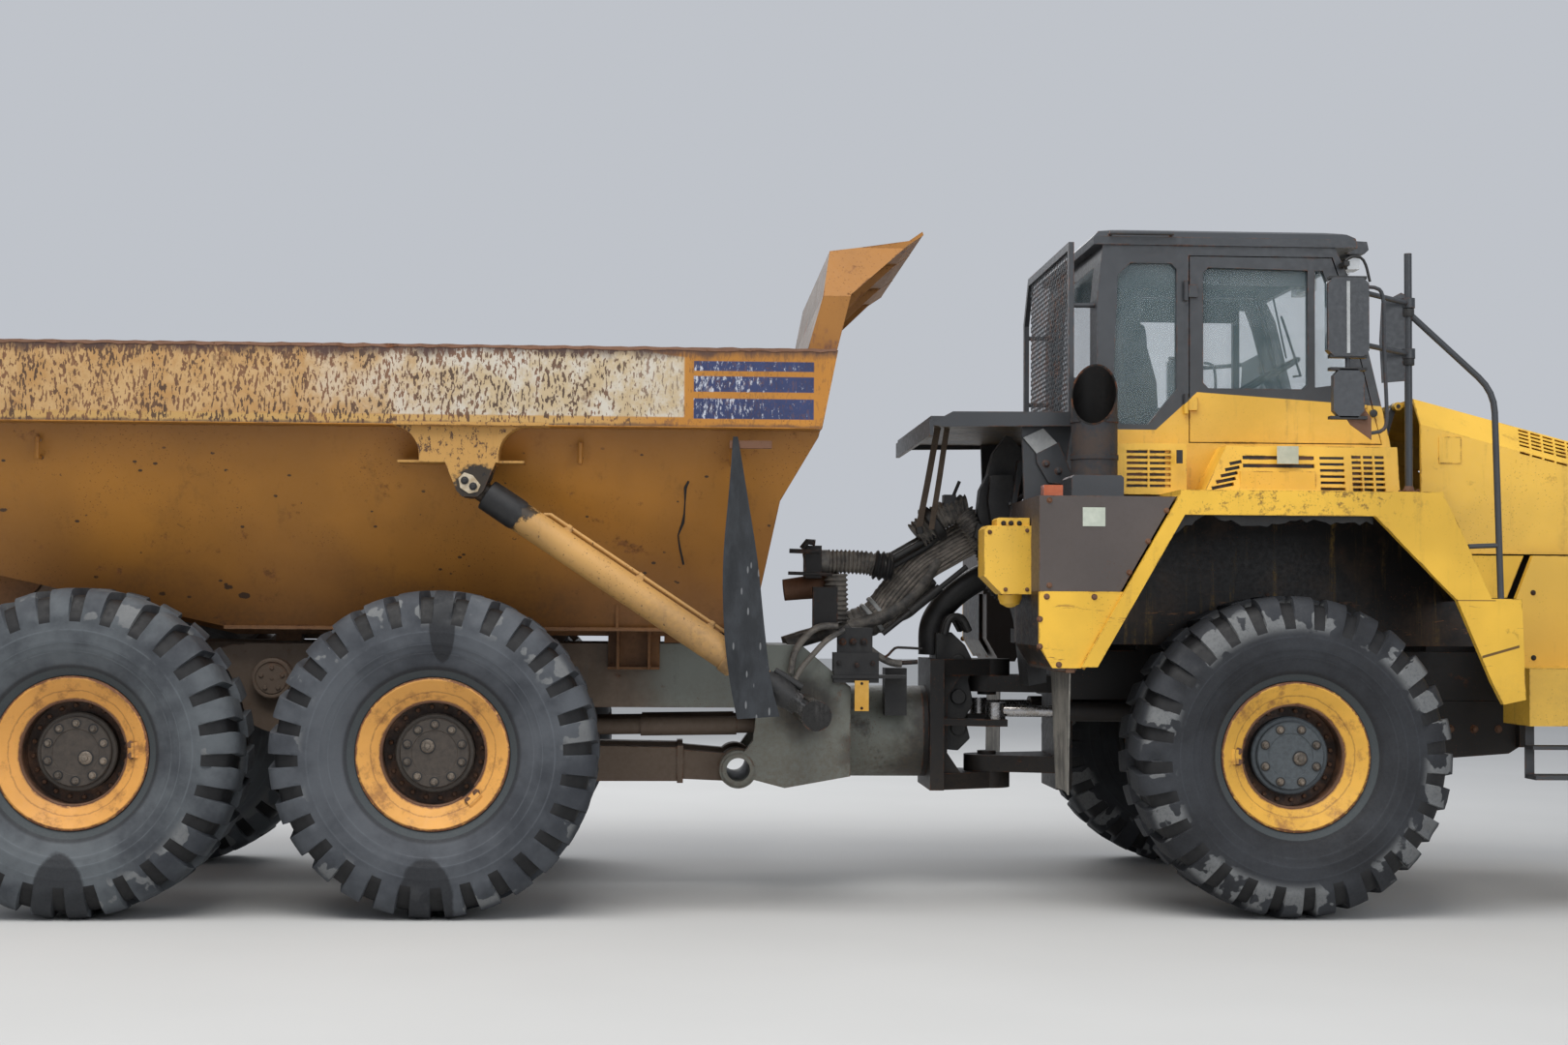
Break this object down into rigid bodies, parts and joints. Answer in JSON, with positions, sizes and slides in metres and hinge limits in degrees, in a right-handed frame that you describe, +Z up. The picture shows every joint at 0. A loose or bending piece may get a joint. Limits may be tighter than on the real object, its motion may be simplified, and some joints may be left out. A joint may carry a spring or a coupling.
{
  "type": "articulated dump truck",
  "caption": "Six-wheel articulated dump truck with a flared tipping body, spill guard, hinged centre joint, hoist cylinders, cab with opening doors and tilting hood",
  "frame": {"origin": "on the ground below the middle of the whole machine", "axes": "+X forward to the hood, +Y to the machine's left, +Z up"},
  "size_m": [10.63, 3.732, 3.74],
  "materials": {
    "yellow_paint": "weathered gloss paint with rust specks and chips",
    "body_paint": "worn ochre paint with rust",
    "frame_paint": "grey-green frame paint under dust",
    "brown_steel": "dark paint under dried mud",
    "charcoal_paint": "satin charcoal paint",
    "lamp_lens": "lamp bodies and lenses",
    "trim": "cab trim and seat cloth",
    "tinted_glass": "tinted glass",
    "tyre": "worn, dusty rubber",
    "black_rubber": "matt rubber",
    "rod_steel": "plated rod"
  },
  "bodies": {
    "tractor": {"front_frame": "frame_paint", "front_axle": "frame_paint", "engine": "frame_paint", "cab_shell": "charcoal_paint", "cab_roof": "charcoal_paint", "cab_glass": "tinted_glass", "cab_interior": "trim", "fenders": "yellow_paint", "sill_boxes": "yellow_paint", "side_tanks": "brown_steel", "filter_tank": "yellow_paint", "rear_deck": "frame_paint", "exhaust_stack": "charcoal_paint", "window_guard": "charcoal_paint", "handrails": "charcoal_paint", "mirrors": "charcoal_paint", "nose": "yellow_paint", "lamps": "lamp_lens", "front_flaps": "black_rubber"},
    "hood": {"hood": "yellow_paint", "grille": "charcoal_paint"},
    "door_right": {"door_right": "charcoal_paint", "door_glass_right": "tinted_glass"},
    "door_left": {"door_left": "charcoal_paint", "door_glass_left": "tinted_glass"},
    "hitch": {"hitch": "brown_steel", "hoses_front": "black_rubber"},
    "rear_frame": {"rear_frame": "frame_paint", "bogie_beams": "brown_steel", "rear_axles": "frame_paint", "tail_lamps": "lamp_lens", "hoses_rear": "black_rubber"},
    "dump_body": {"dump_body": "body_paint", "canopy": "body_paint", "body_flaps": "black_rubber"},
    "wheel_front_right": {"tyre_front_right": "tyre", "rim_front_right": "yellow_paint"},
    "wheel_front_left": {"tyre_front_left": "tyre", "rim_front_left": "yellow_paint"},
    "wheel_mid_right": {"tyre_mid_right": "tyre", "rim_mid_right": "body_paint"},
    "wheel_mid_left": {"tyre_mid_left": "tyre", "rim_mid_left": "body_paint"},
    "wheel_rear_right": {"tyre_rear_right": "tyre", "rim_rear_right": "body_paint"},
    "wheel_rear_left": {"tyre_rear_left": "tyre", "rim_rear_left": "body_paint"},
    "steer_barrel_right": {"steer_barrel_right": "yellow_paint"},
    "steer_rod_right": {"steer_rod_right": "rod_steel"},
    "hoist_barrel_right": {"hoist_barrel_right": "body_paint"},
    "hoist_stage_right": {"hoist_stage_right": "rod_steel"},
    "hoist_rod_right": {"hoist_rod_right": "rod_steel"},
    "steer_barrel_left": {"steer_barrel_left": "yellow_paint"},
    "steer_rod_left": {"steer_rod_left": "rod_steel"},
    "hoist_barrel_left": {"hoist_barrel_left": "body_paint"},
    "hoist_stage_left": {"hoist_stage_left": "rod_steel"},
    "hoist_rod_left": {"hoist_rod_left": "rod_steel"}
  },
  "joints": [
    {"name": "steer", "type": "hinge", "parent": "tractor", "child": "hitch", "pos_m": [1.25, 0, 0.945], "axis": [0, 0, 1], "range_deg": [-45, 45], "deforming": ["hoses_front"]},
    {"name": "oscillation", "type": "hinge", "parent": "hitch", "child": "rear_frame", "pos_m": [0.85, 0, 0.895], "axis": [1, 0, 0], "range_deg": [-15, 15], "deforming": ["hoses_rear"]},
    {"name": "dump", "type": "hinge", "parent": "rear_frame", "child": "dump_body", "pos_m": [-4.32, 0, 1.59], "axis": [0, -1, 0], "range_deg": [0, 70]},
    {"name": "hood_tilt", "type": "hinge", "parent": "tractor", "child": "hood", "pos_m": [3.533, 0, 2.784], "axis": [0, -1, 0], "range_deg": [0, 50]},
    {"name": "door_right_swing", "type": "hinge", "parent": "tractor", "child": "door_right", "pos_m": [2.235, -0.87, 3], "axis": [0, 0, -1], "range_deg": [0, 55]},
    {"name": "door_left_swing", "type": "hinge", "parent": "tractor", "child": "door_left", "pos_m": [2.235, 0.87, 3], "axis": [0, 0, 1], "range_deg": [0, 55]},
    {"name": "wheel_front_right_spin", "type": "hinge", "parent": "tractor", "child": "wheel_front_right", "pos_m": [2.665, -1.2575, 0.845], "axis": [0, 1, 0], "continuous": true},
    {"name": "wheel_front_left_spin", "type": "hinge", "parent": "tractor", "child": "wheel_front_left", "pos_m": [2.665, 1.2575, 0.845], "axis": [0, 1, 0], "continuous": true},
    {"name": "wheel_mid_right_spin", "type": "hinge", "parent": "rear_frame", "child": "wheel_mid_right", "pos_m": [-1.825, -1.2575, 0.845], "axis": [0, 1, 0], "continuous": true},
    {"name": "wheel_mid_left_spin", "type": "hinge", "parent": "rear_frame", "child": "wheel_mid_left", "pos_m": [-1.825, 1.2575, 0.845], "axis": [0, 1, 0], "continuous": true},
    {"name": "wheel_rear_right_spin", "type": "hinge", "parent": "rear_frame", "child": "wheel_rear_right", "pos_m": [-3.655, -1.2575, 0.845], "axis": [0, 1, 0], "continuous": true},
    {"name": "wheel_rear_left_spin", "type": "hinge", "parent": "rear_frame", "child": "wheel_rear_left", "pos_m": [-3.655, 1.2575, 0.845], "axis": [0, 1, 0], "continuous": true},
    {"name": "steer_barrel_right_swing", "type": "hinge", "parent": "tractor", "child": "steer_barrel_right", "pos_m": [2.25, -0.54, 1.03], "axis": [0, 0, 1], "range_deg": [-4.5, 4.5]},
    {"name": "steer_rod_right_slide", "type": "slide", "parent": "steer_barrel_right", "child": "steer_rod_right", "axis": [-0.9859, 0.1676, 0], "range_m": [-0.256, 0.256]},
    {"name": "steer_barrel_left_swing", "type": "hinge", "parent": "tractor", "child": "steer_barrel_left", "pos_m": [2.25, 0.54, 1.03], "axis": [0, 0, 1], "range_deg": [-4.5, 4.5]},
    {"name": "steer_rod_left_slide", "type": "slide", "parent": "steer_barrel_left", "child": "steer_rod_left", "axis": [-0.9859, -0.1676, 0], "range_m": [-0.256, 0.256]},
    {"name": "hoist_barrel_right_swing", "type": "hinge", "parent": "dump_body", "child": "hoist_barrel_right", "pos_m": [-1.655, -1.365, 2.245], "axis": [0, -1, 0], "range_deg": [-75, 0]},
    {"name": "hoist_stage_right_slide", "type": "slide", "parent": "hoist_barrel_right", "child": "hoist_stage_right", "axis": [0.8335, 0, -0.5526], "range_m": [0, 1.425]},
    {"name": "hoist_rod_right_slide", "type": "slide", "parent": "hoist_stage_right", "child": "hoist_rod_right", "axis": [0.8335, 0, -0.5526], "range_m": [0, 1.72]},
    {"name": "hoist_barrel_left_swing", "type": "hinge", "parent": "dump_body", "child": "hoist_barrel_left", "pos_m": [-1.655, 1.365, 2.245], "axis": [0, -1, 0], "range_deg": [-75, 0]},
    {"name": "hoist_stage_left_slide", "type": "slide", "parent": "hoist_barrel_left", "child": "hoist_stage_left", "axis": [0.8335, 0, -0.5526], "range_m": [0, 1.425]},
    {"name": "hoist_rod_left_slide", "type": "slide", "parent": "hoist_stage_left", "child": "hoist_rod_left", "axis": [0.8335, 0, -0.5526], "range_m": [0, 1.72]}
  ],
  "couplings": [
    {"joint": "steer_barrel_right_swing", "follows": "steer", "ratio": -0.0913},
    {"joint": "steer_rod_right_slide", "follows": "steer", "m_per_rad": -0.3202},
    {"joint": "steer_barrel_left_swing", "follows": "steer", "ratio": -0.0913},
    {"joint": "steer_rod_left_slide", "follows": "steer", "m_per_rad": 0.3202},
    {"joint": "hoist_barrel_right_swing", "follows": "dump", "ratio": -1.0647},
    {"joint": "hoist_stage_right_slide", "follows": "dump", "m_per_rad": 1.1623},
    {"joint": "hoist_rod_right_slide", "follows": "dump", "m_per_rad": 1.4051},
    {"joint": "hoist_barrel_left_swing", "follows": "dump", "ratio": -1.0647},
    {"joint": "hoist_stage_left_slide", "follows": "dump", "m_per_rad": 1.1623},
    {"joint": "hoist_rod_left_slide", "follows": "dump", "m_per_rad": 1.4051}
  ]
}
